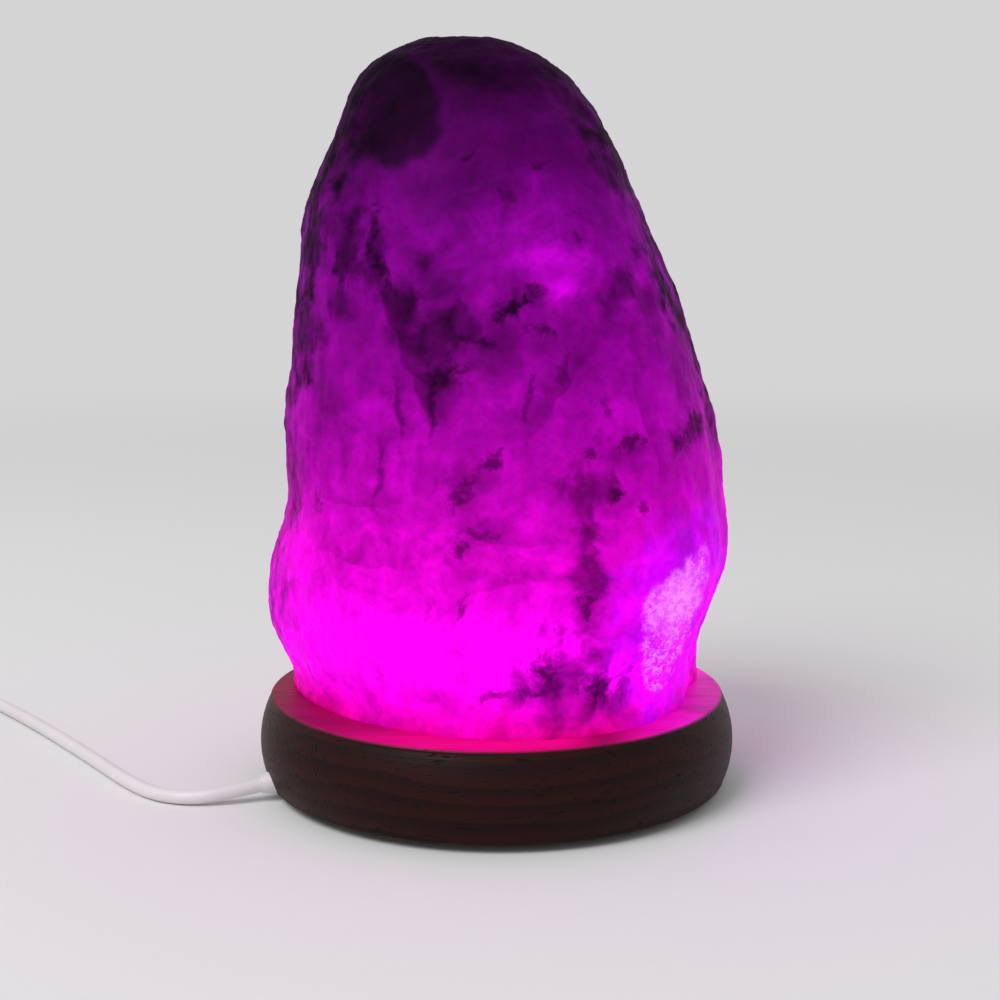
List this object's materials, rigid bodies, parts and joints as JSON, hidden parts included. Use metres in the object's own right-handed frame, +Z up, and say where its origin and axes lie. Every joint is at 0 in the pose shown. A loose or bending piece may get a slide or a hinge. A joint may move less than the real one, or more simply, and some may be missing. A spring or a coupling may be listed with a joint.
{
  "type": "salt crystal lamp",
  "caption": "Small glowing salt crystal night light on a round turned wooden base, with a thin low-voltage lead, an in-line rocker switch and a flat four-contact plug.",
  "frame": {"origin": "on the table, under the middle of the round base", "axes": "+Z up the crystal, -Y towards the viewer of the picture, the lead leaves at the left (-X)"},
  "size_m": [0.2095, 0.1111, 0.1386],
  "materials": {
    "salt": "satin",
    "wood": "satin",
    "steel": "satin",
    "grey_plastic": "matte",
    "black_plastic": "matte",
    "rubber": "matte",
    "white_plastic": "satin",
    "frosted_plastic": "matte",
    "board": "satin",
    "led": "satin",
    "chip": "matte",
    "tan_ceramic": "satin",
    "cord_sheath": "satin",
    "red_sheath": "satin",
    "black_sheath": "satin",
    "switch_plastic": "satin",
    "rocker_plastic": "satin",
    "contact_metal": "satin",
    "plug_plastic": "satin",
    "plug_metal": "satin"
  },
  "bodies": {
    "lamp": {"salt_crystal": "salt", "wood_base": "wood", "crystal_screws": "steel", "crystal_washers": "steel", "crystal_anchors": "grey_plastic", "base_cover": "black_plastic", "cover_screws": "steel", "rubber_feet": "rubber", "led_housing": "white_plastic", "housing_screws": "steel", "led_lens": "frosted_plastic", "led_board": "board", "colour_leds": "led", "colour_chip": "chip", "resistors": "chip", "capacitor": "tan_ceramic", "cord_clamp": "white_plastic", "clamp_screws": "steel", "cord_grommet": "cord_sheath", "inner_lead": "cord_sheath", "red_conductor": "red_sheath", "black_conductor": "black_sheath", "cord_lamp_to_switch": "cord_sheath", "cord_switch_to_coil": "cord_sheath", "cord_coil": "cord_sheath", "cord_coil_to_plug": "cord_sheath", "switch_lower_shell": "switch_plastic", "switch_upper_shell": "switch_plastic", "switch_terminals": "contact_metal", "switch_contact_leaf": "contact_metal", "switch_screws": "steel", "switch_black_conductor": "black_sheath", "switch_red_conductors": "red_sheath", "plug_grip": "plug_plastic", "plug_shell": "plug_metal", "plug_tongue": "white_plastic", "plug_contacts": "contact_metal"},
    "rocker": {"switch_rocker": "rocker_plastic"}
  },
  "joints": [
    {"name": "rocker_hinge", "type": "hinge", "parent": "lamp", "child": "rocker", "pos_m": [-0.157, 0.0165, 0.0082], "axis": [-1, 0, 0], "range_deg": [0, 16]}
  ]
}
